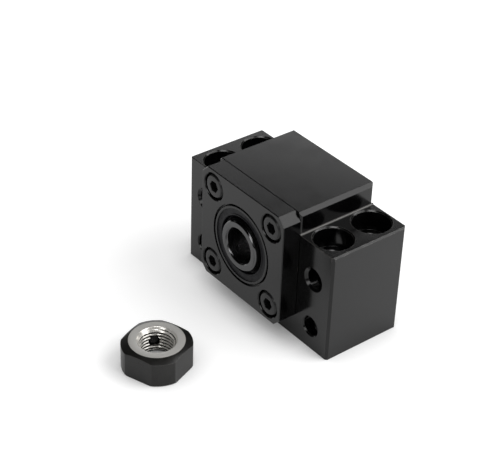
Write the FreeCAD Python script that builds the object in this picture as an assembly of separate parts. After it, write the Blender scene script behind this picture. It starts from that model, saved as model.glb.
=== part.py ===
import FreeCAD, Part

import os
from math import cos, pi, radians, sin, sqrt, tan

from FreeCAD import Vector

# End support for a ball screw, in millimetres. The origin is the middle of the base face,
# under the shaft axis. +Z is up, the shaft axis runs along Y, and the cover faces -Y.

# Shaft axis and the pair of angular contact bearings
shaft_diameter = 10.0
bore_axis_height = 22.0
bearing_outer_diameter = 26.0
bearing_width = 8.0
bearing_edge_chamfer = 0.4
bearing_seat_clearance = 0.02
ball_diameter = 4.762
balls_per_bearing = 9
race_clearance = 0.05
inner_land_drop = 1.65
outer_land_rise = 1.6
relieved_land_rise = 2.15
cage_wall = 1.8
cage_rim = 0.7
pocket_clearance = 0.06

# Cover plate
cover_gap = 0.1
cover_corner_chamfer = 2.3
cover_edge_break = 0.15
spigot_length = 3.0
spigot_clearance = 0.05
clamp_ring_width = 2.5
collar_hole_clearance = 1.0

# Four screws of the cover plate
cover_screw_diameter = 4.0
cover_screw_length = 12.0
screw_head_diameter = 7.0
screw_head_height = 4.0
screw_head_chamfer = 0.5
screw_head_recess = 0.05
screw_head_clearance = 0.38
screw_hole_bevel = 0.25
screw_socket_flats = 3.0
screw_socket_depth = 2.0
screw_end_chamfer = 0.4
screw_thread_clearance = 0.05
screw_shank_clearance = 0.25
screw_hole_wall = 1.92
screw_hole_spare_depth = 1.5
screw_edge_distance = 5.0
drill_point_angle = 118.0

# Housing block
tower_top_chamfer = 1.0
wing_drop = 6.5
wing_edge_chamfer = 0.4
base_edge_break = 0.1
end_edge_break = 0.12
wing_front_corner_chamfer = 0.65
tower_front_corner_chamfer = 0.5
rear_corner_chamfer = 0.8
foot_fillet = 0.45
shoulder_wall = 1.5
bore_mouth_chamfer = 0.4
counterbore_diameter = 10.4
counterbore_depth = 6.0
counterbore_edge_bevel = 0.35
counterbore_foot_wall = 0.8
counterbore_side_wall = 1.8
counterbore_end_wall = 0.8
top_bolt_hole_diameter = 6.6
top_bolt_hole_bevel = 0.3
side_bolt_hole_diameter = 5.5
lower_side_hole_height = 7.0
lower_hole_bevel = 0.35
upper_hole_bevel = 0.7

# Seals, and the two collars that turn inside them
seal_outer_diameter = 22.5
seal_width = 4.0
seal_recess = 0.05
seal_back_gap = 0.45
seal_back_wall = 1.0
seal_relief_width = 0.4
seal_relief_depth = 0.8
seal_edge_chamfer = 0.1
seal_case_wall = 1.2
seal_face_ring_width = 2.1
seal_lip_slope = 1.3
seal_lip_land = 0.3
seal_lip_thickness = 0.6
seal_running_clearance = 0.05
collar_outer_diameter = 14.4
collar_edge_chamfer = 0.4
front_collar_stand = 0.8
rear_collar_recess = 1.0

# Lock nut, off the shaft and lying on the floor in front of the block
nut_outer_diameter = 18.7
nut_across_flats = 16.8
nut_height = 8.0
nut_face_diameter = 14.75
nut_face_step = 0.22
nut_cone_angle = 22.0
nut_base_chamfer = 0.25
nut_thread_minor_diameter = 8.918
nut_lead_in_diameter = 10.7
nut_turn = 20.4
nut_distance_right = 5.0
nut_distance_front = 36.1

# Set screw of the lock nut, and the short piece that it presses on the thread
nut_screw_angle = 153.8
nut_screw_diameter = 3.0
nut_screw_length = 3.0
nut_screw_chamfer = 0.25
nut_screw_socket_flats = 1.5
nut_screw_socket_depth = 1.3
nut_screw_recess = 0.15
set_piece_length = 0.8
nut_screw_clearance = 0.05

# Places that follow from the sizes above
Y_AXIS = Vector(0, 1, 0)
Z_AXIS = Vector(0, 0, 1)
shaft_radius = shaft_diameter / 2
bearing_radius = bearing_outer_diameter / 2
pitch_radius = (shaft_radius + bearing_radius) / 2
ball_radius = ball_diameter / 2
bearing_bore_radius = bearing_radius + bearing_seat_clearance
clamp_ring_radius = bearing_bore_radius - clamp_ring_width
seal_radius = seal_outer_diameter / 2
seal_seat_depth = seal_recess + seal_width + seal_back_gap
collar_radius = collar_outer_diameter / 2
screw_radius = cover_screw_diameter / 2
screw_thread_radius = screw_radius + screw_thread_clearance
screw_offset = (bearing_bore_radius + screw_hole_wall + screw_thread_radius) / sqrt(2)
screw_seat_depth = screw_head_recess + screw_head_height
cover_half = screw_offset + screw_edge_distance
cover_thickness = seal_seat_depth + seal_back_wall
tower_half = cover_half
tower_height = bore_axis_height + cover_half
wing_height = tower_height - wing_drop
counterbore_radius = counterbore_diameter / 2
bolt_x = tower_half + counterbore_foot_wall + counterbore_radius
housing_half_width = bolt_x + counterbore_radius + counterbore_side_wall
housing_length = spigot_length + 2 * bearing_width + shoulder_wall + seal_seat_depth
housing_front = -housing_length / 2
housing_rear = housing_length / 2
bolt_y = housing_length / 2 - counterbore_end_wall - counterbore_radius
cover_back = housing_front - cover_gap
cover_front = cover_back - cover_thickness
front_bearing_start = housing_front + spigot_length
rear_bearing_start = front_bearing_start + bearing_width
shoulder_start = rear_bearing_start + bearing_width
nut_centre = Vector(nut_distance_right, housing_front - nut_distance_front, 0)


def shaft_point(y, radius):
    """A point in the plane X = 0, above the shaft axis by a radius."""
    return Vector(0, y, bore_axis_height + radius)


def turned(edges):
    """A closed outline above the shaft axis, turned into a solid of revolution."""
    face = Part.Face(Part.Wire(edges))
    return face.revolve(shaft_point(0, 0), Y_AXIS, 360)


def turned_points(points):
    """The same from corner points, each a place along Y and a radius."""
    corners = [shaft_point(y, radius) for y, radius in points]
    return turned(Part.makePolygon(corners + corners[:1]).Edges)


def cylinder_along_y(radius, start, end, x=0.0, z=bore_axis_height):
    return Part.makeCylinder(radius, end - start, Vector(x, start, z), Y_AXIS)


def cone_along_y(start_radius, end_radius, start, end, x=0.0, z=bore_axis_height):
    return Part.makeCone(start_radius, end_radius, end - start, Vector(x, start, z), Y_AXIS)


def tapped_hole_along_y(radius, start, depth, x, z):
    """A blind hole that ends in the cone left by a drill point."""
    point_depth = radius / tan(radians(drill_point_angle / 2))
    hole = cylinder_along_y(radius, start, start + depth, x, z)
    point = cone_along_y(radius, 0, start + depth, start + depth + point_depth, x, z)
    return hole.fuse(point)


def hexagon_prism(across_flats, depth, centre, axis):
    """A hexagonal prism from a centre along an axis."""
    corner_radius = across_flats / sqrt(3)
    angles = [pi / 3 * k for k in range(6)]
    corners = [Vector(corner_radius * cos(a), corner_radius * sin(a), 0) for a in angles]
    prism = Part.Face(Part.makePolygon(corners + corners[:1])).extrude(Vector(0, 0, depth))
    prism.Placement = FreeCAD.Placement(centre, FreeCAD.Rotation(Z_AXIS, axis))
    return prism


def cover_screw_places():
    """The four screw centres, as X and Z."""
    return [(i * screw_offset, bore_axis_height + k * screw_offset) for i in (-1, 1) for k in (-1, 1)]


def block_outline():
    """The block's outline in X and Z: base, wings, and the tower with its rounded feet."""
    half = housing_half_width
    foot = foot_fillet
    curve = foot * (1 - sqrt(0.5))
    right = [
        Vector(half - base_edge_break, 0, 0),
        Vector(half, 0, base_edge_break),
        Vector(half, 0, wing_height - wing_edge_chamfer),
        Vector(half - wing_edge_chamfer, 0, wing_height),
        Vector(tower_half + foot, 0, wing_height),
        Vector(tower_half, 0, wing_height + foot),
        Vector(tower_half, 0, tower_height - tower_top_chamfer),
        Vector(tower_half - tower_top_chamfer, 0, tower_height),
    ]
    left = [Vector(-p.x, 0, p.z) for p in reversed(right)]
    corners = right + left
    edges = []
    for start, end in zip(corners, corners[1:] + corners[:1]):
        if abs(start.z - end.z) > 0 and {start.z, end.z} == {wing_height, wing_height + foot}:
            side = 1 if start.x > 0 else -1
            middle = Vector(side * (tower_half + curve), 0, wing_height + curve)
            edges.append(Part.Arc(start, middle, end).toShape())
        else:
            edges.append(Part.LineSegment(start, end).toShape())
    return Part.Wire(edges)


def bolt_holes_down():
    """The four vertical bolt holes, each with a counterbore from the wing's top."""
    hole = top_bolt_hole_diameter / 2
    mouth = hole + top_bolt_hole_bevel
    rim = counterbore_radius + counterbore_edge_bevel
    floor = wing_height - counterbore_depth
    cuts = []
    for x in (-bolt_x, bolt_x):
        for y in (-bolt_y, bolt_y):
            lower_bevel = Vector(x, y, floor - top_bolt_hole_bevel)
            upper_bevel = Vector(x, y, wing_height - counterbore_edge_bevel)
            cuts.append(Part.makeCylinder(hole, wing_height, Vector(x, y, 0)))
            cuts.append(Part.makeCone(hole, mouth, top_bolt_hole_bevel, lower_bevel))
            cuts.append(Part.makeCylinder(counterbore_radius, counterbore_depth, Vector(x, y, floor)))
            cuts.append(Part.makeCone(counterbore_radius, rim, counterbore_edge_bevel, upper_bevel))
    return cuts


def bolt_holes_across():
    """The four bolt holes along Y. The upper pair has the wider bevel at its mouths."""
    radius = side_bolt_hole_diameter / 2
    cuts = []
    for x in (-bolt_x, bolt_x):
        for z, bevel in ((lower_side_hole_height, lower_hole_bevel), (bore_axis_height, upper_hole_bevel)):
            wide = radius + bevel
            cuts.append(cylinder_along_y(radius, housing_front, housing_rear, x, z))
            cuts.append(cone_along_y(wide, radius, housing_front, housing_front + bevel, x, z))
            cuts.append(cone_along_y(radius, wide, housing_rear - bevel, housing_rear, x, z))
    return cuts


def bearing_seats():
    """The stepped bore: bearings from the front, a shoulder, and the rear seal's seat."""
    mouth = bore_mouth_chamfer
    seat_floor = housing_rear - seal_seat_depth
    return turned_points([
        (housing_front, 0),
        (housing_front, bearing_bore_radius + mouth),
        (housing_front + mouth, bearing_bore_radius),
        (shoulder_start, bearing_bore_radius),
        (shoulder_start, clamp_ring_radius),
        (seat_floor, clamp_ring_radius),
        (seat_floor, seal_radius),
        (housing_rear - seal_relief_depth, seal_radius),
        (housing_rear - seal_relief_depth, seal_radius + seal_relief_width),
        (housing_rear, seal_radius + seal_relief_width),
        (housing_rear, 0),
    ])


def corner_wedge(x, y, size, bottom, top):
    """What a chamfer takes off an upright corner of the block at X and Y."""
    into_x = Vector(-size if x > 0 else size, 0, 0)
    into_y = Vector(0, -size if y > 0 else size, 0)
    corner = Vector(x, y, bottom)
    outline = Part.makePolygon([corner, corner + into_x, corner + into_y, corner])
    return Part.Face(outline).extrude(Vector(0, 0, top - bottom))


def corner_wedges():
    """The chamfers of the wings' and the tower's upright corners, front and rear."""
    wedges = []
    for side in (-1, 1):
        for reach, front_size, bottom, top in (
                (housing_half_width, wing_front_corner_chamfer, 0, wing_height),
                (tower_half, tower_front_corner_chamfer, wing_height, tower_height)):
            x = side * reach
            wedges.append(corner_wedge(x, housing_front, front_size, bottom, top))
            wedges.append(corner_wedge(x, housing_rear, rear_corner_chamfer, bottom, top))
    return wedges


def make_housing():
    blank = Part.Face(block_outline()).extrude(Vector(0, housing_length, 0))
    blank.translate(Vector(0, housing_front, 0))
    end_edges = [e for e in blank.Edges if e.BoundBox.YLength < 1e-6]
    blank = blank.makeChamfer(end_edge_break, end_edges)
    cuts = corner_wedges() + bolt_holes_down() + bolt_holes_across() + [bearing_seats()]
    reach = screw_seat_depth + cover_screw_length - cover_thickness - cover_gap
    for x, z in cover_screw_places():
        depth = reach + screw_hole_spare_depth
        cuts.append(tapped_hole_along_y(screw_thread_radius, housing_front, depth, x, z))
    return blank.cut(cuts)


def make_cover_plate():
    half = cover_half
    corner = half - cover_corner_chamfer
    outline = [(-corner, -half), (corner, -half), (half, -corner), (half, corner),
               (corner, half), (-corner, half), (-half, corner), (-half, -corner)]
    points = [Vector(x, cover_front, bore_axis_height + z) for x, z in outline]
    plate = Part.Face(Part.makePolygon(points + points[:1])).extrude(Vector(0, cover_thickness, 0))
    front_edges = [e for e in plate.Edges if e.BoundBox.YMax < cover_front + 1e-6]
    plate = plate.makeChamfer(cover_edge_break, front_edges)
    spigot = cylinder_along_y(bearing_bore_radius - spigot_clearance, cover_back, front_bearing_start)
    seat_end = cover_front + seal_seat_depth
    bore = turned_points([
        (cover_front, 0),
        (cover_front, seal_radius + seal_relief_width),
        (cover_front + seal_relief_depth, seal_radius + seal_relief_width),
        (cover_front + seal_relief_depth, seal_radius),
        (seat_end, seal_radius),
        (seat_end, collar_radius + collar_hole_clearance),
        (cover_back, collar_radius + collar_hole_clearance),
        (cover_back, clamp_ring_radius),
        (front_bearing_start, clamp_ring_radius),
        (front_bearing_start, 0),
    ])
    head_hole = screw_head_diameter / 2 + screw_head_clearance
    cuts = [bore]
    for x, z in cover_screw_places():
        seat = cover_front + screw_seat_depth
        bevel_end = cover_front + screw_hole_bevel
        cuts.append(cylinder_along_y(screw_radius + screw_shank_clearance, cover_front, cover_back, x, z))
        cuts.append(cylinder_along_y(head_hole, cover_front, seat, x, z))
        cuts.append(cone_along_y(head_hole + screw_hole_bevel, head_hole, cover_front, bevel_end, x, z))
    return plate.fuse(spigot).cut(cuts).removeSplitter()


def make_cover_screw(x, z):
    """One socket cap screw, with a bevelled head and a hexagonal socket."""
    top = cover_front + screw_head_recess
    seat = cover_front + screw_seat_depth
    end = seat + cover_screw_length
    head = screw_head_diameter / 2
    head_edge = cone_along_y(head - screw_head_chamfer, head, top, top + screw_head_chamfer, x, z)
    head_body = cylinder_along_y(head, top + screw_head_chamfer, seat, x, z)
    shank = cylinder_along_y(screw_radius, seat, end - screw_end_chamfer, x, z)
    tip = cone_along_y(screw_radius, screw_radius - screw_end_chamfer, end - screw_end_chamfer, end, x, z)
    socket = hexagon_prism(screw_socket_flats, screw_socket_depth, Vector(x, top, z), Y_AXIS)
    return head_body.fuse([head_edge, shank, tip]).removeSplitter().cut(socket)


def make_cover_screws():
    return Part.makeCompound([make_cover_screw(x, z) for x, z in cover_screw_places()])


def make_seal(face, inward):
    """A lip seal. Its face lies in its seat, and inward is the way along Y into the seat."""
    back = face + inward * seal_width
    lip = collar_radius + seal_running_clearance
    ring = seal_radius - seal_face_ring_width
    case = seal_radius - seal_case_wall
    slope_end = face + inward * seal_lip_slope
    land_start = slope_end + inward * (ring - lip) / 2
    land_end = land_start + inward * seal_lip_land
    tail = land_end + inward * seal_lip_thickness
    return turned_points([
        (face, ring),
        (face, seal_radius - seal_edge_chamfer),
        (face + inward * seal_edge_chamfer, seal_radius),
        (back, seal_radius),
        (back, case),
        (slope_end, case),
        (slope_end, ring),
        (tail, lip + 2 * seal_lip_thickness),
        (tail, lip + seal_lip_thickness),
        (land_end, lip),
        (land_start, lip),
        (slope_end, ring - seal_lip_thickness),
    ])


def make_collar(start, end):
    """A ground spacer ring on the shaft, with broken edges."""
    edge = collar_edge_chamfer
    return turned_points([
        (start, shaft_radius + edge),
        (start, collar_radius - edge),
        (start + edge, collar_radius),
        (end - edge, collar_radius),
        (end, collar_radius - edge),
        (end, shaft_radius + edge),
        (end - edge, shaft_radius),
        (start + edge, shaft_radius),
    ])


def groove_reach(land_radius):
    """Half the width that the ball groove has where it meets a land."""
    groove = ball_radius + race_clearance
    return sqrt(groove ** 2 - (land_radius - pitch_radius) ** 2)


def make_race(start, back_land, front_land, skin_radius, inward):
    """A bearing ring. The lands flank the ball groove, and the skin is its bore or outside.
    inward is +1 where the groove opens towards the shaft and -1 where it opens away from it."""
    end = start + bearing_width
    middle = (start + end) / 2
    edge = bearing_edge_chamfer
    skin = skin_radius - inward * edge
    bottom = pitch_radius + inward * (ball_radius + race_clearance)
    left = shaft_point(middle - groove_reach(back_land), back_land)
    right = shaft_point(middle + groove_reach(front_land), front_land)
    corners = [
        right,
        shaft_point(end, front_land),
        shaft_point(end, skin),
        shaft_point(end - edge, skin_radius),
        shaft_point(start + edge, skin_radius),
        shaft_point(start, skin),
        shaft_point(start, back_land),
        left,
    ]
    edges = [Part.LineSegment(a, b).toShape() for a, b in zip(corners, corners[1:])]
    edges.append(Part.Arc(left, shaft_point(middle, bottom), right).toShape())
    return turned(edges)


def make_outer_ring(start, relieved_at_end):
    high = pitch_radius + outer_land_rise
    low = pitch_radius + relieved_land_rise
    lands = (high, low) if relieved_at_end else (low, high)
    return make_race(start, lands[0], lands[1], bearing_radius, 1)


def make_inner_ring(start):
    land = pitch_radius - inner_land_drop
    return make_race(start, land, land, shaft_radius, -1)


def ball_angles():
    return [2 * pi * k / balls_per_bearing for k in range(balls_per_bearing)]


def ball_centre(start, angle):
    middle = start + bearing_width / 2
    return Vector(pitch_radius * sin(angle), middle, bore_axis_height + pitch_radius * cos(angle))


def make_cage(start):
    """A one-piece ring between the lands, drilled with a pocket for each ball."""
    middle = start + bearing_width / 2
    half_length = ball_radius + pocket_clearance + cage_rim
    outside = cylinder_along_y(pitch_radius + cage_wall / 2, middle - half_length, middle + half_length)
    inside = cylinder_along_y(pitch_radius - cage_wall / 2, middle - half_length, middle + half_length)
    pockets = []
    for angle in ball_angles():
        out = Vector(sin(angle), 0, cos(angle))
        base = ball_centre(start, angle) - out * cage_wall
        pockets.append(Part.makeCylinder(ball_radius + pocket_clearance, 2 * cage_wall, base, out))
    return outside.cut([inside] + pockets)


def make_ball(start, angle):
    ball = Part.makeSphere(ball_radius)
    ball.translate(ball_centre(start, angle))
    return ball


def nut_screw_direction():
    return Vector(cos(radians(nut_screw_angle)), sin(radians(nut_screw_angle)), 0)


def nut_screw_point(radius):
    """A point on the set screw's axis, at a distance from the nut's own axis."""
    return nut_centre + Vector(0, 0, nut_height / 2) + nut_screw_direction() * radius


def make_lock_nut():
    """A round nut with four flats, a raised end face and a cone down to its sides."""
    side = nut_outer_diameter / 2
    face = nut_face_diameter / 2
    bore = nut_thread_minor_diameter / 2
    mouth = nut_lead_in_diameter / 2
    lead_in = mouth - bore
    cone_top = nut_height - nut_face_step
    cone_end = cone_top - (side - face) * tan(radians(nut_cone_angle))
    outline = [
        (mouth, 0),
        (side - nut_base_chamfer, 0),
        (side, nut_base_chamfer),
        (side, cone_end),
        (face, cone_top),
        (face, nut_height),
        (mouth, nut_height),
        (bore, nut_height - lead_in),
        (bore, lead_in),
    ]
    points = [nut_centre + Vector(radius, 0, z) for radius, z in outline]
    body = Part.Face(Part.makePolygon(points + points[:1])).revolve(nut_centre, Z_AXIS, 360)
    flats = nut_across_flats
    square = Part.makeBox(flats, flats, nut_height, nut_centre - Vector(flats / 2, flats / 2, 0))
    square.rotate(nut_centre, Z_AXIS, nut_turn)
    hole_radius = nut_screw_diameter / 2 + nut_screw_clearance
    hole = Part.makeCylinder(hole_radius, side, nut_screw_point(0), nut_screw_direction())
    return body.common(square).cut(hole)


def nut_screw_top():
    """How far from the nut's axis its set screw ends, a little below the curved side."""
    return nut_outer_diameter / 2 - nut_screw_recess - nut_screw_chamfer


def make_nut_set_screw():
    top = nut_screw_top()
    radius = nut_screw_diameter / 2
    inward = -nut_screw_direction()
    narrow = radius - nut_screw_chamfer
    body = Part.makeCylinder(radius, nut_screw_length - nut_screw_chamfer, nut_screw_point(top), inward)
    tip_start = nut_screw_point(top - nut_screw_length + nut_screw_chamfer)
    tip = Part.makeCone(radius, narrow, nut_screw_chamfer, tip_start, inward)
    socket = hexagon_prism(nut_screw_socket_flats, nut_screw_socket_depth, nut_screw_point(top), inward)
    return body.fuse(tip).cut(socket)


def make_nut_set_piece():
    start = nut_screw_point(nut_screw_top() - nut_screw_length)
    radius = nut_screw_diameter / 2 - nut_screw_chamfer
    return Part.makeCylinder(radius, set_piece_length, start, -nut_screw_direction())


def all_parts():
    """Every piece by name."""
    bearings = {"front": front_bearing_start, "rear": rear_bearing_start}
    rear_collar_end = housing_rear - rear_collar_recess
    parts = {
        "housing": make_housing(),
        "cover_plate": make_cover_plate(),
        "cover_screws": make_cover_screws(),
        "front_seal": make_seal(cover_front + seal_recess, 1),
        "rear_seal": make_seal(housing_rear - seal_recess, -1),
        "front_collar": make_collar(cover_front - front_collar_stand, front_bearing_start),
        "rear_collar": make_collar(shoulder_start, rear_collar_end),
        "lock_nut": make_lock_nut(),
        "lock_nut_set_screw": make_nut_set_screw(),
        "lock_nut_set_piece": make_nut_set_piece(),
    }
    for side, start in bearings.items():
        parts[side + "_bearing_outer_ring"] = make_outer_ring(start, side == "front")
        parts[side + "_bearing_inner_ring"] = make_inner_ring(start)
        parts[side + "_bearing_cage"] = make_cage(start)
        for number, angle in enumerate(ball_angles(), 1):
            parts[side + "_ball_" + str(number)] = make_ball(start, angle)
    return parts


os.makedirs("parts", exist_ok=True)
for name, shape in all_parts().items():
    shape.exportStep("parts/" + name + ".step")
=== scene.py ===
from math import cos, pi, radians, sin, sqrt, tan

import bmesh
import bpy
from mathutils import Matrix, Vector


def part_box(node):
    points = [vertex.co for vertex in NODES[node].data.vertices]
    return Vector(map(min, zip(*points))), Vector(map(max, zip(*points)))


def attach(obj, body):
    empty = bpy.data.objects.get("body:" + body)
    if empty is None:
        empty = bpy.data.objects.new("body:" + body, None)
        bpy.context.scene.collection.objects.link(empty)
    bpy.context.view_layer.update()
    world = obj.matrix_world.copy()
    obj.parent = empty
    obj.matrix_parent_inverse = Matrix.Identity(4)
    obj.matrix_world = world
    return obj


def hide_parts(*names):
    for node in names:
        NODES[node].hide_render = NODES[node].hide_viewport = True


# Looks of a ball screw end support and its loose lock nut. Metres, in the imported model's frame:
# the shaft axis runs along Y, the cover faces -Y, and the block stands on Z = 0.

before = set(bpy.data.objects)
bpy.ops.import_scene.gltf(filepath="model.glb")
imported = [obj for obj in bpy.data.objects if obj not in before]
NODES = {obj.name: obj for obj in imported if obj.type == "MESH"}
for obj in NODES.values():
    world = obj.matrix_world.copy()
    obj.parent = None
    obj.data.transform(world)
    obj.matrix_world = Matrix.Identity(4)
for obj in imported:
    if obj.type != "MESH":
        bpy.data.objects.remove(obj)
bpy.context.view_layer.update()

# Camera, in degrees and metres
CAMERA_AZIMUTH = 50.520
CAMERA_ELEVATION = 34.664
CAMERA_ROLL = 2.179
CAMERA_DISTANCE = 0.41473
CAMERA_TARGET = Vector((-0.018160, 0.0, 0.007304))
CAMERA_LENS = 105.437
CAMERA_NEAR = 0.01
SENSOR_WIDTH = 36.0

# Studio light. Levels are radiance, where 1 is white, and angles are in degrees
WHITE = (1.0, 1.0, 1.0, 1.0)
SKY_LEVEL = 0.58
KEY_DIRECTION = (0.565, 0.536, 0.627)
KEY_STRENGTH = 2.1
KEY_ANGLE = 54.0

# The backdrop that reflections see is a band between two heights of a direction of length 1,
# which rise towards the rear. In front it keeps a share of its light
BACKDROP_LEVEL = 2.3
CEILING_LEVEL = 0.04
BACKDROP_FOOT = 0.26
BACKDROP_FULL = 0.34
BACKDROP_TOP = 0.395
CEILING_START = 0.420
BACKDROP_LEAN = 0.2
FRONT_SHARE = 0.12
FRONT_END = 0.25
REAR_START = 0.45

# Two round cards of light: the direction to each, its level, and its reach in degrees
LOW_CARD = (0.35, -0.84, 0.41)
LOW_CARD_LEVEL = 3.6
LOW_CARD_REACH = 14.0
HIGH_CARD = (0.45, -0.36, 0.80)
HIGH_CARD_LEVEL = 6.0
HIGH_CARD_REACH = 18.0

# Floor. Its lift is a glow that only the camera and reflections see, and that is weaker where
# something stands close: a painted contact shadow. Reflections see it darker in front of the block
# than behind it
FLOOR_REACH = 4.0
FLOOR_TONE = (0.72, 0.72, 0.72)
FLOOR_ROUGHNESS = 0.9
FLOOR_LIFT = 0.50
FLOOR_SHADE = 0.65
FLOOR_GLOW = 1.25
FLOOR_GLOW_REACH = 0.035
CONTACT_REACH = 0.008
CONTACT_SAMPLES = 16

# Detail of the meshes. Thread flats are shares of a pitch
SHARP_ANGLE = 35.0
MERGE_DISTANCE = 1e-7
TURNED_COLUMNS = 160
EDGE_ROUNDING = 0.00012
FINE_ROUNDING = 0.00006
THREAD_CREST_FLAT = 0.25
THREAD_ROOT_FLAT = 0.125

# Collars. A face turned by more than the limit, in degrees, is a bevel
SHAFT_RADIUS = 0.005
COLLAR_BEVEL = 0.0004
COLLAR_FLAT_LIMIT = 20.0

# Seals. Depths lie behind the face, and a point is a radius and a depth
SEAL_RIM_WIDTH = 0.0009
SEAL_RIM_FACE = 0.0003
SEAL_RIM_SLOPE = 0.00006
SEAL_RELIEF = 0.00024
SEAL_RELIEF_DEPTH = 0.0008
SEAL_CASE_WALL = 0.0012
SEAL_WEB_DEPTH = 0.0015
SEAL_GROOVE_RADIUS = 0.0089
SEAL_GROOVE_DEPTH = 0.00034
SEAL_BEAD_OUTSIDE = (0.00866, 0.00014)
SEAL_BEAD_INSIDE = (0.00834, 0.0002)
SEAL_LIP_ROOT = (0.0082, 0.0013)
SEAL_LIP_CLEARANCE = 0.00005
SEAL_LIP_LAND = 0.0003
SEAL_LIP_TIP = 0.0006
SEAL_LIP_END = 0.00298
SEAL_RIM_MARGIN = 0.00003

# Cover screws, M4
SCREW_HEAD_RADIUS = 0.0035
SCREW_HEAD_HEIGHT = 0.004
SCREW_HEAD_BEVEL = 0.0005
SCREW_SOCKET_SIDES = 6
SCREW_SOCKET_FLATS = 0.003
SCREW_SOCKET_DEPTH = 0.002
SCREW_SOCKET_CONE = 31.0
SCREW_SHANK_RADIUS = 0.002
SCREW_PITCH = 0.0007
SCREW_ROWS_A_PITCH = 8
SCREW_THREAD_DEPTH = 0.00043
KNURL_GROOVES = 40
KNURL_DEPTH = 0.00009
COLUMNS_A_GROOVE = 3

# Lock nut, M10 by 1. Its turn and its hole's angle are about its own axis
NUT_COLUMNS = 360
NUT_SIDE_RADIUS = 0.00935
NUT_FLATS = 4
NUT_FLAT_DISTANCE = 0.0084
NUT_FACE_RADIUS = 0.007375
NUT_FACE_STEP = 0.00022
NUT_CONE_ANGLE = 22.0
NUT_BASE_BEVEL = 0.00025
NUT_MINOR_RADIUS = 0.004459
NUT_MAJOR_RADIUS = 0.005
NUT_LEAD_IN_RADIUS = 0.00535
NUT_LEAD_IN_SLOPE = 1.5
NUT_PITCH = 0.001
NUT_ROWS_A_PITCH = 14
NUT_TURN = 20.4
NUT_HOLE_ANGLE = 153.8
NUT_HOLE_RADIUS = 0.00155
NUT_HOLE_START = 0.0035
NUT_HOLE_SIDES = 48
# The thread's roots are painted dark as shade, from this share of the way from minor to major
# radius, and this far below the lead-in
NUT_ROOT_SHARE = 0.45
NUT_ROOT_MARGIN = 0.0001
NUT_BARE_MARGIN = 0.00001

# Noise, with scales in turns for each metre. A finish uses its range from start to end
NOISE_START = 0.3
NOISE_END = 0.7
PATCH_START = 0.38
PATCH_END = 0.58
CLOUD_DETAIL = 4.0
PATCH_DETAIL = 3.0
GRAIN_DETAIL = 2.0
OXIDE_CLOUD_SCALE = 220.0
OXIDE_GRAIN_SCALE = 9000.0
GRINDING_SCALES = (5200.0, 90.0, 5200.0)
WEAR_AND_HIGHLIGHT_PATCH_SCALE = 700.0
TURNING_SCALE = 9000.0
RUBBER_CLOUD_SCALE = 700.0
RUBBER_GRAIN_SCALE = 14000.0
METAL_CLOUD_SCALE = 900.0
METAL_GRAIN_SCALE = 12000.0
RESIN_CLOUD_SCALE = 400.0
RESIN_GRAIN_SCALE = 6000.0

# How much smoother and rougher than its mean a finish is in places
OXIDE_VARIATION = (0.03, 0.04)
TURNED_VARIATION = (0.06, 0.08)
RUBBER_VARIATION = (0.06, 0.08)
METAL_VARIATION = (0.04, 0.06)

# Depths of fine relief
GRINDING_RELIEF = 0.000001
OXIDE_RELIEF = 0.0000008
TURNING_RELIEF = 0.000002
RUBBER_GRAIN_RELIEF = 0.000003
RUBBER_CLOUD_RELIEF = 0.000006
METAL_RELIEF = 0.0000015
RESIN_RELIEF = 0.000004

# Black oxide, and the bare steel at its edges: partly rubbed, partly a painted highlight. An edge
# is told by how alike the directions of the face and of its rounded copy are. A core is bare in
# full
OXIDE_TONE = (0.0009, 0.0009, 0.001)
OXIDE_SPECULAR = 0.33
OXIDE_PALER = 2.2
BARE_STEEL_AND_HIGHLIGHT = (0.22, 0.215, 0.205)
BEVEL_SAMPLES = 6
EDGE_REACH = 0.00028
EDGE_TURNED = 0.90
EDGE_FLAT = 0.995
WEAR_AND_HIGHLIGHT_CORE = 0.0007
WEAR_AND_HIGHLIGHT_END = 0.0016
WEAR_AND_HIGHLIGHT_ELSEWHERE = 0.15
WEAR_AND_HIGHLIGHT_LEAST = 0.25
# A painted highlight of bare steel along the curve at the tower's foot, this wide
FOOT_HIGHLIGHT_CORE = 0.00022
FOOT_HIGHLIGHT_END = 0.0003

# Places of bare steel: the wings' tops and the nut's upper edge, partly wear and partly painted
# highlight; the curve at the tower's foot, painted highlight
WING_DROP = 0.0065
FOOT_FILLET = 0.00045
NUT_EDGE_HEIGHT = 0.0072

COLLAR_TONE = (0.085, 0.085, 0.086)
RESIN_SHADE = 0.8


def highest(node):
    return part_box(node)[1]


def middle(node):
    low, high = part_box(node)
    return (low + high) / 2


AXIS_HEIGHT = middle("front_collar").z
WING_TOP = highest("housing").z - WING_DROP
FOOT_SIDE = highest("cover_plate").x + FOOT_FILLET / 2
FOOT_RISE = WING_TOP + FOOT_FILLET / 2


# Meshes

def add_piece(name, mesh, body, node):
    """A piece of the object, riding on its body and standing for its node."""
    piece = bpy.data.objects.new(name, mesh)
    bpy.context.scene.collection.objects.link(piece)
    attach(piece, body)
    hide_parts(node)


def shade_smooth(mesh):
    """Smooth shading, apart from true edges."""
    mesh.polygons.foreach_set("use_smooth", [True] * len(mesh.polygons))
    mesh.set_sharp_from_angle(angle=radians(SHARP_ANGLE))


def finish_mesh(name, vertices, faces):
    """A closed mesh with its normals outward."""
    mesh = bpy.data.meshes.new(name)
    work = bmesh.new()
    points = [work.verts.new(v) for v in vertices]
    for face in faces:
        work.faces.new([points[i] for i in face])
    bmesh.ops.remove_doubles(work, verts=work.verts, dist=MERGE_DISTANCE)
    bmesh.ops.recalc_face_normals(work, faces=work.faces)
    work.to_mesh(mesh)
    work.free()
    shade_smooth(mesh)
    return mesh


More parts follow.
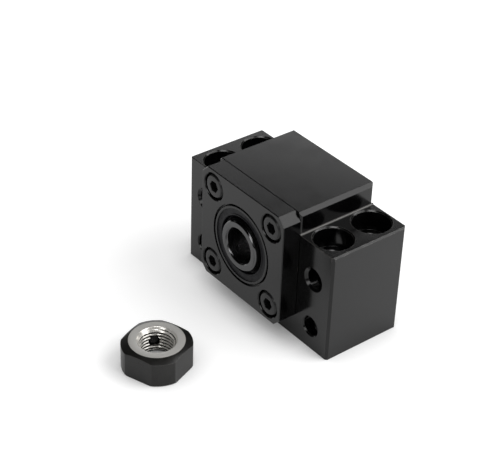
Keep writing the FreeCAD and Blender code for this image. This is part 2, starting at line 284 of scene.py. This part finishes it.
def rounded(points, radius, steps=3, longest_share=0.45):
    """A closed outline with each corner eased by a small curve, within a share of its sides."""
    eased = []
    count = len(points)
    for i, corner in enumerate(points):
        corner = Vector(corner)
        before = Vector(points[i - 1]) - corner
        after = Vector(points[(i + 1) % count]) - corner
        reach = min(radius, longest_share * before.length, longest_share * after.length)
        start = corner + before.normalized() * reach
        end = corner + after.normalized() * reach
        for k in range(steps + 1):
            t = k / steps
            eased.append((1 - t) ** 2 * start + 2 * t * (1 - t) * corner + t ** 2 * end)
    return eased


def along_y(centre):
    """Places a turned point, a radius, an angle and a distance, about an axis along Y."""
    def place(radius, angle, distance):
        return centre + Vector((radius * sin(angle), distance, radius * cos(angle)))
    return place


def along_z(centre):
    """The same about an axis along Z."""
    def place(radius, angle, distance):
        return centre + Vector((radius * cos(angle), radius * sin(angle), distance))
    return place


def turned_geometry(outline_at, place, columns, ring):
    """Points and faces of a turned form. outline_at gives the outline of radius and distance
    at an angle; it closes on itself in a ring, and otherwise starts and ends on the axis."""
    vertices = []
    for c in range(columns):
        angle = 2 * pi * c / columns
        vertices += [place(radius, angle, distance) for radius, distance in outline_at(angle)]
    rows = len(vertices) // columns
    faces = []
    for c in range(columns):
        here = c * rows
        there = ((c + 1) % columns) * rows
        for r in range(rows if ring else rows - 1):
            up = (r + 1) % rows
            corners = [here + r, there + r, there + up, here + up]
            if vertices[corners[0]] == vertices[corners[1]]:
                corners = corners[1:]
            elif vertices[corners[2]] == vertices[corners[3]]:
                corners = corners[:3]
            faces.append(corners)
    return vertices, faces


def turned_ring(name, outline_at, place, columns=TURNED_COLUMNS):
    vertices, faces = turned_geometry(outline_at, place, columns, True)
    return finish_mesh(name, vertices, faces)


def even_outline(points, rounding):
    """An outline that is the same at every angle."""
    outline = rounded(points, rounding)
    return lambda angle: outline


def flat_reach(angle, half_flats, sides):
    """The distance from the centre to the side of a regular polygon at an angle."""
    sector = 2 * pi / sides
    return half_flats / cos((angle + sector / 2) % sector - sector / 2)


def thread_depth_share(phase):
    """How deep a metric thread is at a share of its pitch, from 0 at its crest to 1 at its root."""
    distance = abs(2 * (phase % 1.0) - 1)
    slope = 1 - THREAD_CREST_FLAT - THREAD_ROOT_FLAT
    return min(max((distance - THREAD_CREST_FLAT) / slope, 0.0), 1.0)


# Shader nodes of a material or of the world, its owner

def add_node(owner, kind, **settings):
    node = owner.node_tree.nodes.new(kind)
    for key, value in settings.items():
        setattr(node, key, value)
    return node


def join(owner, output, target):
    owner.node_tree.links.new(output, target)


def feed(owner, value, target):
    """Sets an input to a number or a colour, or joins another node's output to it."""
    if isinstance(value, bpy.types.NodeSocket):
        join(owner, value, target)
    elif isinstance(value, tuple):
        target.default_value = (*value, 1.0)
    else:
        target.default_value = value


def calculated(owner, operation, first, second=0.0):
    """The result of a sum, a product or the like."""
    node = add_node(owner, "ShaderNodeMath", operation=operation)
    feed(owner, first, node.inputs[0])
    feed(owner, second, node.inputs[1])
    return node.outputs[0]


def spread(owner, source, low, high, start=NOISE_START, end=NOISE_END):
    """A value turned from the range start to end into low to high, and kept inside it."""
    node = add_node(owner, "ShaderNodeMapRange")
    join(owner, source, node.inputs["Value"])
    node.inputs["From Min"].default_value = start
    node.inputs["From Max"].default_value = end
    feed(owner, low, node.inputs["To Min"])
    feed(owner, high, node.inputs["To Max"])
    return node.outputs["Result"]


def blended(owner, factor, first, second):
    """A colour between two."""
    node = add_node(owner, "ShaderNodeMix", data_type="RGBA")
    join(owner, factor, node.inputs["Factor"])
    feed(owner, first, node.inputs["A"])
    feed(owner, second, node.inputs["B"])
    return node.outputs["Result"]


def place_in_object(owner):
    """The X, Y and Z of a point in its object's own space."""
    place = add_node(owner, "ShaderNodeTexCoord")
    split = add_node(owner, "ShaderNodeSeparateXYZ")
    join(owner, place.outputs["Object"], split.inputs[0])
    return split.outputs


def noise(owner, scale, detail, stretch=(1.0, 1.0, 1.0)):
    """Noise in the object's own space."""
    place = add_node(owner, "ShaderNodeTexCoord")
    mapping = add_node(owner, "ShaderNodeMapping")
    mapping.inputs["Scale"].default_value = stretch
    texture = add_node(owner, "ShaderNodeTexNoise")
    texture.inputs["Scale"].default_value = scale
    texture.inputs["Detail"].default_value = detail
    join(owner, place.outputs["Object"], mapping.inputs["Vector"])
    join(owner, mapping.outputs["Vector"], texture.inputs["Vector"])
    return texture.outputs["Fac"]


# Materials

def shader_of(material):
    return material.node_tree.nodes["Principled BSDF"]


def new_material(name, color, roughness, metallic=0.0):
    material = bpy.data.materials.new(name)
    material.use_nodes = True
    inputs = shader_of(material).inputs
    inputs["Base Color"].default_value = (*color, 1.0)
    inputs["Roughness"].default_value = roughness
    inputs["Metallic"].default_value = metallic
    return material


def vary_roughness(material, source, mean, variation):
    smoother, rougher = variation
    rough = spread(material, source, mean - smoother, mean + rougher)
    join(material, rough, shader_of(material).inputs["Roughness"])


def rounded_normal(material, radius):
    """The surface's direction, with edges rounded by a radius."""
    corner = add_node(material, "ShaderNodeBevel", samples=BEVEL_SAMPLES)
    corner.inputs["Radius"].default_value = radius
    return corner.outputs["Normal"]


def add_relief(material, layers, normal=None):
    """Layers of height, each a source and a depth, on the surface or on a rounded one."""
    for source, depth in layers:
        bump = add_node(material, "ShaderNodeBump")
        bump.inputs["Strength"].default_value = 1.0
        bump.inputs["Distance"].default_value = depth
        join(material, source, bump.inputs["Height"])
        if normal:
            join(material, normal, bump.inputs["Normal"])
        normal = bump.outputs["Normal"]
    join(material, normal, shader_of(material).inputs["Normal"])


def edge_mask(material):
    """1 where the surface turns within a short reach, and 0 on flat ground."""
    face = add_node(material, "ShaderNodeNewGeometry")
    likeness = add_node(material, "ShaderNodeVectorMath", operation="DOT_PRODUCT")
    join(material, rounded_normal(material, EDGE_REACH), likeness.inputs[0])
    join(material, face.outputs["Normal"], likeness.inputs[1])
    return spread(material, likeness.outputs["Value"], 1.0, 0.0, EDGE_TURNED, EDGE_FLAT)


def near_place(material, axis, place, core, end, elsewhere):
    """1 up to core's distance from a place on an axis, and elsewhere's share beyond end's.
    A place along X counts on both sides of the middle."""
    aside = calculated(material, "ABSOLUTE", place_in_object(material)[axis])
    off = calculated(material, "SUBTRACT", aside, place)
    distance = calculated(material, "ABSOLUTE", off)
    return spread(material, distance, 1.0, elsewhere, core, end)


def worn_and_highlit_edges(material, amount, height):
    """How bare and bright the edges are, partly wear and partly painted highlight: most at one
    height, and uneven along their length.
    """
    patches = noise(material, WEAR_AND_HIGHLIGHT_PATCH_SCALE, PATCH_DETAIL)
    uneven = spread(material, patches, WEAR_AND_HIGHLIGHT_LEAST, 1.0, PATCH_START, PATCH_END)
    near = near_place(material, "Z", height, WEAR_AND_HIGHLIGHT_CORE, WEAR_AND_HIGHLIGHT_END, WEAR_AND_HIGHLIGHT_ELSEWHERE)
    rubbed_and_highlit = calculated(material, "MULTIPLY", edge_mask(material), uneven)
    rubbed_and_highlit = calculated(material, "MULTIPLY", rubbed_and_highlit, near)
    return calculated(material, "MULTIPLY", rubbed_and_highlit, amount)


def painted_foot_highlight(material, amount, aside, rise):
    """A painted highlight of bare steel along the curve at a foot, whose middle lies at a distance
    aside and a height.
    """
    across = near_place(material, "X", aside, FOOT_HIGHLIGHT_CORE, FOOT_HIGHLIGHT_END, 0.0)
    upward = near_place(material, "Z", rise, FOOT_HIGHLIGHT_CORE, FOOT_HIGHLIGHT_END, 0.0)
    line = calculated(material, "MULTIPLY", across, upward)
    return calculated(material, "MULTIPLY", line, amount)


def blackened_steel(name, tone, roughness, corner_radius, wear_and_highlight=None, foot=None):
    """Ground steel under black oxide: black, with a satin gloss and faint grinding lines.
    The first option is how bare its edges are, partly wear and partly a painted highlight, and the
    height where they are barest.
    The second is how bright the painted highlight of bare steel along the curve at a foot is, and
    the distance aside and height of its middle."""
    material = new_material(name, tone, roughness)
    inputs = shader_of(material).inputs
    inputs["Specular IOR Level"].default_value = OXIDE_SPECULAR
    cloud = noise(material, OXIDE_CLOUD_SCALE, CLOUD_DETAIL)
    lines = noise(material, 1.0, CLOUD_DETAIL, GRINDING_SCALES)
    grain = noise(material, OXIDE_GRAIN_SCALE, GRAIN_DETAIL)
    paler = tuple(OXIDE_PALER * c for c in tone)
    color = blended(material, spread(material, cloud, 0.0, 1.0), tone, paler)
    # Bare steel at the edges is partly wear and partly a painted highlight
    if wear_and_highlight:
        bare_and_highlit = worn_and_highlit_edges(material, *wear_and_highlight)
        # Along the curve at the foot, the bare steel is a painted highlight
        if foot:
            bare_and_highlit = calculated(material, "MAXIMUM", bare_and_highlit, painted_foot_highlight(material, *foot))
        color = blended(material, bare_and_highlit, color, BARE_STEEL_AND_HIGHLIGHT)
        join(material, bare_and_highlit, inputs["Metallic"])
    join(material, color, inputs["Base Color"])
    vary_roughness(material, cloud, roughness, OXIDE_VARIATION)
    relief = [(lines, GRINDING_RELIEF), (grain, OXIDE_RELIEF)]
    add_relief(material, relief, rounded_normal(material, corner_radius))
    return material


def turned_steel(name, color, roughness):
    """Turned steel with fine lines round the shaft axis."""
    material = new_material(name, color, roughness, 1.0)
    place = place_in_object(material)
    across = add_node(material, "ShaderNodeCombineXYZ")
    radius = add_node(material, "ShaderNodeVectorMath", operation="LENGTH")
    section = add_node(material, "ShaderNodeCombineXYZ")
    texture = add_node(material, "ShaderNodeTexNoise")
    texture.inputs["Scale"].default_value = TURNING_SCALE
    texture.inputs["Detail"].default_value = PATCH_DETAIL
    join(material, place["X"], across.inputs["X"])
    join(material, calculated(material, "SUBTRACT", place["Z"], AXIS_HEIGHT), across.inputs["Z"])
    join(material, across.outputs[0], radius.inputs[0])
    join(material, radius.outputs["Value"], section.inputs["X"])
    join(material, place["Y"], section.inputs["Y"])
    join(material, section.outputs[0], texture.inputs["Vector"])
    lines = texture.outputs["Fac"]
    vary_roughness(material, lines, roughness, TURNED_VARIATION)
    add_relief(material, [(lines, TURNING_RELIEF)])
    return material


def rubber(name, color, roughness, specular):
    """Moulded rubber. specular is how strongly it mirrors."""
    material = new_material(name, color, roughness)
    shader_of(material).inputs["Specular IOR Level"].default_value = specular
    cloud = noise(material, RUBBER_CLOUD_SCALE, CLOUD_DETAIL)
    grain = noise(material, RUBBER_GRAIN_SCALE, GRAIN_DETAIL)
    vary_roughness(material, cloud, roughness, RUBBER_VARIATION)
    add_relief(material, [(grain, RUBBER_GRAIN_RELIEF), (cloud, RUBBER_CLOUD_RELIEF)])
    return material


def plain_metal(name, color, roughness, metallic=1.0):
    """Metal with a fine grain. A lower metallic gives it the scattering look of a cut face."""
    material = new_material(name, color, roughness, metallic)
    cloud = noise(material, METAL_CLOUD_SCALE, CLOUD_DETAIL)
    grain = noise(material, METAL_GRAIN_SCALE, GRAIN_DETAIL)
    vary_roughness(material, cloud, roughness, METAL_VARIATION)
    add_relief(material, [(grain, METAL_RELIEF)])
    return material


def moulded_resin(name, color, roughness):
    material = new_material(name, color, roughness)
    cloud = noise(material, RESIN_CLOUD_SCALE, PATCH_DETAIL)
    grain = noise(material, RESIN_GRAIN_SCALE, GRAIN_DETAIL)
    darker = tuple(RESIN_SHADE * c for c in color)
    tint = blended(material, spread(material, cloud, 0.0, 1.0), color, darker)
    join(material, tint, shader_of(material).inputs["Base Color"])
    add_relief(material, [(grain, RESIN_RELIEF)])
    return material


# Bare steel at the block's, cover's and nut's edges is partly wear and partly a painted highlight;
# along the tower's foot it is a painted highlight
BLOCK_STEEL = blackened_steel("block_black_oxide", OXIDE_TONE, 0.17, 0.00016,
                              wear_and_highlight=(0.8, WING_TOP), foot=(0.35, FOOT_SIDE, FOOT_RISE))
COVER_STEEL = blackened_steel("cover_black_oxide", OXIDE_TONE, 0.19, 0.00014,
                              wear_and_highlight=(0.2, AXIS_HEIGHT))
SCREW_STEEL = blackened_steel("screw_black_oxide", (0.004, 0.004, 0.0042), 0.32, 0.00008)
COLLAR_STEEL = turned_steel("collar_ground_steel", COLLAR_TONE, 0.30)
COLLAR_BEVEL_STEEL = turned_steel("collar_bevel_steel", COLLAR_TONE, 0.14)
BEARING_STEEL = turned_steel("bearing_ground_steel", (0.58, 0.58, 0.59), 0.2)
BALL_STEEL = plain_metal("polished_balls", (0.72, 0.72, 0.73), 0.08)
CAGE_RESIN = moulded_resin("cage_resin", (0.55, 0.47, 0.32), 0.5)
SEAL_RUBBER = rubber("seal_rubber", (0.004, 0.004, 0.0055), 0.42, 0.14)
SEAL_RIM_RUBBER = rubber("seal_rim_rubber", (0.002, 0.002, 0.0024), 0.26, 0.32)
NUT_SIDE_STEEL = blackened_steel("nut_black_oxide", (0.006, 0.0058, 0.0054), 0.30, 0.00008,
                                 wear_and_highlight=(0.3, NUT_EDGE_HEIGHT))
NUT_FACE_STEEL = plain_metal("nut_cut_steel", (0.46, 0.45, 0.43), 0.36, 0.25)
NUT_THREAD_STEEL = plain_metal("nut_thread_steel", (0.72, 0.70, 0.66), 0.23, 0.5)
# Dark steel painted into the thread's roots as shade
NUT_ROOT_PAINTED_SHADE = plain_metal("nut_thread_root_painted_shade", (0.030, 0.028, 0.026), 0.35)


def dress(node, material):
    """Gives a carried-over node its finish."""
    slots = NODES[node].data.materials
    slots.clear()
    slots.append(material)


# Pieces

def axis_reach(spot):
    """How far a spot lies from the shaft axis."""
    return sqrt(spot.x ** 2 + (spot.z - AXIS_HEIGHT) ** 2)


def make_collar(side):
    """A spacer ring with bevelled edges, ground on its flat and round faces."""
    node = side + "_collar"
    low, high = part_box(node)
    radius = (high.x - low.x) / 2
    bevel = COLLAR_BEVEL
    outline = [
        (SHAFT_RADIUS + bevel, low.y),
        (radius - bevel, low.y),
        (radius, low.y + bevel),
        (radius, high.y - bevel),
        (radius - bevel, high.y),
        (SHAFT_RADIUS + bevel, high.y),
        (SHAFT_RADIUS, high.y - bevel),
        (SHAFT_RADIUS, low.y + bevel),
    ]
    place = along_y(Vector((0, 0, AXIS_HEIGHT)))
    mesh = turned_ring(node + "_ring", even_outline(outline, EDGE_ROUNDING), place)
    mesh.materials.append(COLLAR_STEEL)
    mesh.materials.append(COLLAR_BEVEL_STEEL)
    for polygon in mesh.polygons:
        normal = polygon.normal
        straightest = max(abs(normal.y), sqrt(normal.x ** 2 + normal.z ** 2))
        polygon.material_index = 1 if straightest < cos(radians(COLLAR_FLAT_LIMIT)) else 0
    add_piece(node + "_ring", mesh, "sleeve", node)


def make_seal(side, inward):
    """A lip seal with a moulded face: a raised rim, a shallow groove and a sloping lip."""
    node = side + "_seal"
    low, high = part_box(node)
    face = low.y if inward > 0 else high.y
    width = high.y - low.y
    rim = (high.x - low.x) / 2
    rim_inside = rim - SEAL_RIM_WIDTH
    relief = rim - SEAL_RELIEF
    case_inside = rim - SEAL_CASE_WALL
    lip = highest("front_collar").x + SEAL_LIP_CLEARANCE
    lip_heel = SEAL_LIP_END - SEAL_LIP_TIP
    outline = [
        (SEAL_GROOVE_RADIUS, SEAL_GROOVE_DEPTH),
        (rim_inside - SEAL_RIM_SLOPE, SEAL_RIM_FACE),
        (rim_inside, 0),
        (relief - SEAL_RIM_SLOPE, 0),
        (relief, SEAL_RIM_SLOPE),
        (relief, SEAL_RELIEF_DEPTH),
        (rim, SEAL_RELIEF_DEPTH + SEAL_RELIEF),
        (rim, width),
        (case_inside, width),
        (case_inside, SEAL_WEB_DEPTH),
        (SEAL_GROOVE_RADIUS, SEAL_WEB_DEPTH),
        (lip + 2 * SEAL_LIP_TIP, SEAL_LIP_END),
        (lip + SEAL_LIP_TIP, SEAL_LIP_END),
        (lip, lip_heel),
        (lip, lip_heel - SEAL_LIP_LAND),
        SEAL_LIP_ROOT,
        SEAL_BEAD_INSIDE,
        SEAL_BEAD_OUTSIDE,
    ]
    outline = [(radius, face + inward * depth) for radius, depth in outline]
    place = along_y(Vector((0, 0, AXIS_HEIGHT)))
    mesh = turned_ring(node + "_ring", even_outline(outline, FINE_ROUNDING), place)
    mesh.materials.append(SEAL_RUBBER)
    mesh.materials.append(SEAL_RIM_RUBBER)
    for polygon in mesh.polygons:
        on_rim = axis_reach(polygon.center) > rim_inside - SEAL_RIM_MARGIN
        polygon.material_index = 1 if on_rim else 0
    add_piece(node + "_ring", mesh, "housing", node)


def screw_head_outline(angle):
    """A socket cap screw's head at an angle, from its socket's floor round to its shank."""
    socket = flat_reach(angle, SCREW_SOCKET_FLATS / 2, SCREW_SOCKET_SIDES)
    cone = SCREW_SOCKET_DEPTH + SCREW_SOCKET_FLATS / 2 * tan(radians(SCREW_SOCKET_CONE))
    ridge = abs((angle * KNURL_GROOVES / (2 * pi)) % 1.0 - 0.5) * 2
    side = SCREW_HEAD_RADIUS - KNURL_DEPTH * (1 - ridge) ** 2
    top = SCREW_HEAD_RADIUS - SCREW_HEAD_BEVEL
    soft = FINE_ROUNDING
    return [
        (0, cone),
        (socket, SCREW_SOCKET_DEPTH),
        (socket, soft),
        (socket + soft, 0),
        (top - 3 * soft, 0),
        (top - soft, 0.3 * soft),
        (top + soft, 1.5 * soft),
        (SCREW_HEAD_RADIUS - KNURL_DEPTH * 2, SCREW_HEAD_BEVEL - soft),
        (side, SCREW_HEAD_BEVEL + 2 * soft),
        (side, SCREW_HEAD_HEIGHT - 2 * soft),
        (SCREW_HEAD_RADIUS - 2 * soft, SCREW_HEAD_HEIGHT),
        (SCREW_SHANK_RADIUS, SCREW_HEAD_HEIGHT),
    ]


def screw_thread_outline(angle, length):
    """The thread of a screw at an angle, with a tapered tip."""
    step = SCREW_PITCH / SCREW_ROWS_A_PITCH
    start = SCREW_HEAD_HEIGHT + step
    taper_start = length - SCREW_THREAD_DEPTH
    points = []
    for r in range(int((length - start) / step)):
        distance = start + r * step
        share = thread_depth_share(distance / SCREW_PITCH - angle / (2 * pi) + 0.5)
        taper = max(0.0, distance - taper_start)
        radius = SCREW_SHANK_RADIUS - SCREW_THREAD_DEPTH * share
        points.append((min(radius, SCREW_SHANK_RADIUS - taper), distance))
    points.append((SCREW_SHANK_RADIUS - SCREW_THREAD_DEPTH, length))
    points.append((0, length))
    return points


def make_cover_screws():
    """Four socket cap screws with knurled heads, in a square about the shaft axis."""
    low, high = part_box("cover_screws")
    centre = (low + high) / 2
    offset = (high.x - low.x) / 2 - SCREW_HEAD_RADIUS
    length = high.y - low.y
    columns = COLUMNS_A_GROOVE * KNURL_GROOVES

    def outline(angle):
        return screw_head_outline(angle) + screw_thread_outline(angle, length)

    vertices = []
    faces = []
    for across in (-1, 1):
        for upward in (-1, 1):
            middle_of_head = Vector((across * offset, low.y, centre.z + upward * offset))
            more, joins = turned_geometry(outline, along_y(middle_of_head), columns, False)
            faces += [[v + len(vertices) for v in face] for face in joins]
            vertices += more
    mesh = finish_mesh("socket_cap_screws", vertices, faces)
    mesh.materials.append(SCREW_STEEL)
    add_piece("socket_cap_screws", mesh, "housing", "cover_screws")


def nut_side_radius(angle):
    """The nut's outside: a cylinder with four flats."""
    flat = flat_reach(angle - radians(NUT_TURN), NUT_FLAT_DISTANCE, NUT_FLATS)
    return min(flat, NUT_SIDE_RADIUS)


def nut_thread_outline(angle, height):
    """The nut's bore at an angle, from its top down: lead-in cone, thread and lead-in cone."""
    rows = int(height / NUT_PITCH * NUT_ROWS_A_PITCH)
    points = []
    for r in range(1, rows):
        z = height - FINE_ROUNDING - r * (height - 2 * FINE_ROUNDING) / rows
        share = thread_depth_share(z / NUT_PITCH - angle / (2 * pi))
        radius = NUT_MINOR_RADIUS + (NUT_MAJOR_RADIUS - NUT_MINOR_RADIUS) * share
        from_end = min(z, height - z)
        cone_radius = NUT_LEAD_IN_RADIUS - from_end / NUT_LEAD_IN_SLOPE
        points.append((max(radius, cone_radius, NUT_MINOR_RADIUS), z))
    return points


def nut_outline(angle, height):
    """The nut at an angle: base, side, cone and end face, then its bore."""
    side = nut_side_radius(angle)
    face = NUT_FACE_RADIUS
    face_foot = height - NUT_FACE_STEP
    base = max(0.0, side - (NUT_SIDE_RADIUS - NUT_BASE_BEVEL))
    soft = FINE_ROUNDING

    def cone(radius):
        return face_foot - (radius - face) * tan(radians(NUT_CONE_ANGLE))

    return [
        (NUT_LEAD_IN_RADIUS, 0),
        (side - base, 0),
        (side, base + soft / 4),
        (side, base + 2 * soft),
        (side, cone(side) - 2 * soft),
        (side - 0.3 * soft, cone(side) - 0.4 * soft),
        (side - 1.5 * soft, cone(side - 1.5 * soft)),
        (face + 2 * soft, cone(face + 2 * soft)),
        (face, face_foot),
        (face, height - soft),
        (face - soft / 3, height - soft / 3),
        (face - soft, height),
        (NUT_LEAD_IN_RADIUS + soft, height),
        (NUT_LEAD_IN_RADIUS, height - soft / 3),
    ] + nut_thread_outline(angle, height)


def nut_finish(spot, height):
    """The finish of the nut at a spot: blackened outside, bare on its end face and thread, with
    painted shade in the thread's roots.
    """
    reach = sqrt(spot.x ** 2 + spot.y ** 2)
    if reach < NUT_LEAD_IN_RADIUS + NUT_BARE_MARGIN:
        root = NUT_MINOR_RADIUS + NUT_ROOT_SHARE * (NUT_MAJOR_RADIUS - NUT_MINOR_RADIUS)
        lead_in = height - (NUT_LEAD_IN_RADIUS - reach) * NUT_LEAD_IN_SLOPE
        # The thread's roots get dark steel as painted shade
        in_root = reach > root and spot.z < lead_in - NUT_ROOT_MARGIN
        return NUT_ROOT_PAINTED_SHADE if in_root else NUT_THREAD_STEEL
    if spot.z > height - NUT_FACE_STEP / 2 and reach < NUT_FACE_RADIUS:
        return NUT_FACE_STEEL
    return NUT_SIDE_STEEL


def cut_side_hole(mesh, centre, angle):
    """Drills the set screw's hole through one side of the nut."""
    nut = bpy.data.objects.new("nut_blank", mesh)
    bpy.context.scene.collection.objects.link(nut)
    drill_mesh = bpy.data.meshes.new("drill")
    work = bmesh.new()
    depth = NUT_SIDE_RADIUS
    bmesh.ops.create_cone(work, cap_ends=True, segments=NUT_HOLE_SIDES,
                          radius1=NUT_HOLE_RADIUS, radius2=NUT_HOLE_RADIUS, depth=depth)
    out = Vector((cos(angle), sin(angle), 0))
    turn = out.to_track_quat("Z", "Y").to_matrix().to_4x4()
    place = Matrix.Translation(centre + out * (NUT_HOLE_START + depth / 2)) @ turn
    bmesh.ops.transform(work, matrix=place, verts=work.verts)
    work.to_mesh(drill_mesh)
    work.free()
    drill = bpy.data.objects.new("drill", drill_mesh)
    bpy.context.scene.collection.objects.link(drill)
    cut = nut.modifiers.new("hole", "BOOLEAN")
    cut.object = drill
    cut.operation = "DIFFERENCE"
    cut.solver = "EXACT"
    bpy.context.view_layer.update()
    drilled = nut.evaluated_get(bpy.context.evaluated_depsgraph_get())
    result = bpy.data.meshes.new_from_object(drilled)
    bpy.data.objects.remove(nut)
    bpy.data.objects.remove(drill)
    return result


def make_lock_nut():
    """A round nut with four flats, a bare end face, a cut thread and a hole in one side."""
    low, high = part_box("lock_nut")
    height = high.z - low.z
    centre = Vector(((low.x + high.x) / 2, (low.y + high.y) / 2, 0))

    def outline(angle):
        return nut_outline(angle, height)

    blank = turned_ring("nut_blank", outline, along_z(centre), NUT_COLUMNS)
    finishes = [NUT_SIDE_STEEL, NUT_FACE_STEEL, NUT_THREAD_STEEL, NUT_ROOT_PAINTED_SHADE]
    for finish in finishes:
        blank.materials.append(finish)
    for polygon in blank.polygons:
        finish = nut_finish(polygon.center - centre, height)
        polygon.material_index = finishes.index(finish)
    hole_centre = centre + Vector((0, 0, height / 2))
    mesh = cut_side_hole(blank, hole_centre, radians(NUT_HOLE_ANGLE))
    shade_smooth(mesh)
    add_piece("threaded_lock_nut", mesh, "housing", "lock_nut")


# Studio

def make_floor():
    """A plain white floor that keeps the object's shadow, with a painted contact shadow where
    something stands close.
    """
    mesh = bpy.data.meshes.new("floor")
    reach = FLOOR_REACH
    corners = [(-reach, -reach, 0), (reach, -reach, 0), (reach, reach, 0), (-reach, reach, 0)]
    mesh.from_pydata(corners, [], [(0, 1, 2, 3)])
    floor = bpy.data.objects.new("floor", mesh)
    bpy.context.scene.collection.objects.link(floor)
    material = new_material("floor_white", FLOOR_TONE, FLOOR_ROUGHNESS)
    inputs = shader_of(material).inputs
    inputs["Specular IOR Level"].default_value = 0.0
    inputs["Emission Color"].default_value = WHITE
    path = add_node(material, "ShaderNodeLightPath").outputs
    along = place_in_object(material)["Y"]
    glow = spread(material, along, FLOOR_SHADE, FLOOR_GLOW, -FLOOR_GLOW_REACH, FLOOR_GLOW_REACH)
    mirrored = calculated(material, "MULTIPLY", path["Is Glossy Ray"], glow)
    seen = calculated(material, "ADD", path["Is Camera Ray"], mirrored)
    seen = calculated(material, "ADD", seen, path["Is Transmission Ray"])
    # The glow is weaker where something stands close: a painted contact shadow
    painted_contact_shadow = add_node(material, "ShaderNodeAmbientOcclusion", samples=CONTACT_SAMPLES)
    painted_contact_shadow.inputs["Distance"].default_value = CONTACT_REACH
    open_share = calculated(material, "MULTIPLY", seen, painted_contact_shadow.outputs["AO"])
    lift = calculated(material, "MULTIPLY", open_share, FLOOR_LIFT)
    join(material, lift, inputs["Emission Strength"])
    material.cycles.emission_sampling = "NONE"
    mesh.materials.append(material)


def light_card(world, direction, towards, level, reach):
    """A round card of light in a direction, fading over the outer half of its reach."""
    aim = add_node(world, "ShaderNodeVectorMath", operation="DOT_PRODUCT")
    aim.inputs[1].default_value = Vector(towards).normalized()
    join(world, direction, aim.inputs[0])
    edge = cos(radians(reach))
    core = cos(radians(reach / 2))
    return spread(world, aim.outputs["Value"], 0.0, level, edge, core)


def make_world():
    """Soft white light. Reflections see a bright band of backdrop, which is dim in front, with
    dark above and below it, and two cards. The camera sees plain white."""
    world = bpy.data.worlds.new("studio")
    bpy.context.scene.world = world
    world.use_nodes = True
    direction = add_node(world, "ShaderNodeTexCoord").outputs["Generated"]
    split = add_node(world, "ShaderNodeSeparateXYZ")
    join(world, direction, split.inputs[0])
    along = split.outputs["Y"]
    lean = calculated(world, "MULTIPLY", along, BACKDROP_LEAN)
    height = calculated(world, "SUBTRACT", split.outputs["Z"], lean)
    foot = spread(world, height, 0.0, 1.0, BACKDROP_FOOT, BACKDROP_FULL)
    top = spread(world, height, 1.0, 0.0, BACKDROP_TOP, CEILING_START)
    band = calculated(world, "MULTIPLY", foot, top)
    level = spread(world, band, CEILING_LEVEL, BACKDROP_LEVEL, 0.0, 1.0)
    share = spread(world, along, FRONT_SHARE, 1.0, FRONT_END, REAR_START)
    backdrop = calculated(world, "MULTIPLY", level, share)
    low_card = light_card(world, direction, LOW_CARD, LOW_CARD_LEVEL, LOW_CARD_REACH)
    high_card = light_card(world, direction, HIGH_CARD, HIGH_CARD_LEVEL, HIGH_CARD_REACH)
    cards = calculated(world, "ADD", low_card, high_card)
    mirrored = calculated(world, "ADD", backdrop, cards)
    path = add_node(world, "ShaderNodeLightPath").outputs
    seen = calculated(world, "ADD", path["Is Camera Ray"], path["Is Glossy Ray"])
    seen = calculated(world, "ADD", seen, path["Is Transmission Ray"])
    light = spread(world, seen, SKY_LEVEL, mirrored, 0.0, 1.0)
    strength = spread(world, path["Is Camera Ray"], light, 1.0, 0.0, 1.0)
    background = world.node_tree.nodes["Background"]
    background.inputs["Color"].default_value = WHITE
    join(world, strength, background.inputs["Strength"])


def make_sun(name, towards, strength, angle):
    """A broad soft light, shining from a direction."""
    light = bpy.data.lights.new(name, "SUN")
    light.energy = strength
    light.angle = radians(angle)
    lamp = bpy.data.objects.new(name, light)
    lamp.rotation_euler = Vector(towards).to_track_quat("Z", "Y").to_euler()
    bpy.context.scene.collection.objects.link(lamp)


def make_camera():
    azimuth = radians(CAMERA_AZIMUTH)
    elevation = radians(CAMERA_ELEVATION)
    roll = radians(CAMERA_ROLL)
    across = sin(azimuth) * cos(elevation)
    along = -cos(azimuth) * cos(elevation)
    back = Vector((across, along, sin(elevation)))
    level_right = Vector((cos(azimuth), sin(azimuth), 0))
    level_up = back.cross(level_right)
    right = cos(roll) * level_right + sin(roll) * level_up
    up = cos(roll) * level_up - sin(roll) * level_right
    data = bpy.data.cameras.new("camera")
    data.lens = CAMERA_LENS
    data.sensor_width = SENSOR_WIDTH
    data.sensor_fit = "HORIZONTAL"
    data.clip_start = CAMERA_NEAR
    camera = bpy.data.objects.new("camera", data)
    turn = Matrix((right, up, back)).transposed().to_4x4()
    camera.matrix_world = Matrix.Translation(CAMERA_TARGET + back * CAMERA_DISTANCE) @ turn
    bpy.context.scene.collection.objects.link(camera)
    bpy.context.scene.camera = camera


dress("housing", BLOCK_STEEL)
dress("cover_plate", COVER_STEEL)
for side in ("front", "rear"):
    dress(side + "_bearing_outer_ring", BEARING_STEEL)
    dress(side + "_bearing_inner_ring", BEARING_STEEL)
    dress(side + "_bearing_cage", CAGE_RESIN)
    make_collar(side)
for node in NODES:
    if "_ball_" in node:
        dress(node, BALL_STEEL)
make_seal("front", 1)
make_seal("rear", -1)
make_cover_screws()
make_lock_nut()
dress("lock_nut_set_screw", SCREW_STEEL)
dress("lock_nut_set_piece", SCREW_STEEL)

make_floor()
make_world()
make_sun("key", KEY_DIRECTION, KEY_STRENGTH, KEY_ANGLE)
make_camera()
bpy.context.scene.view_settings.view_transform = "Standard"
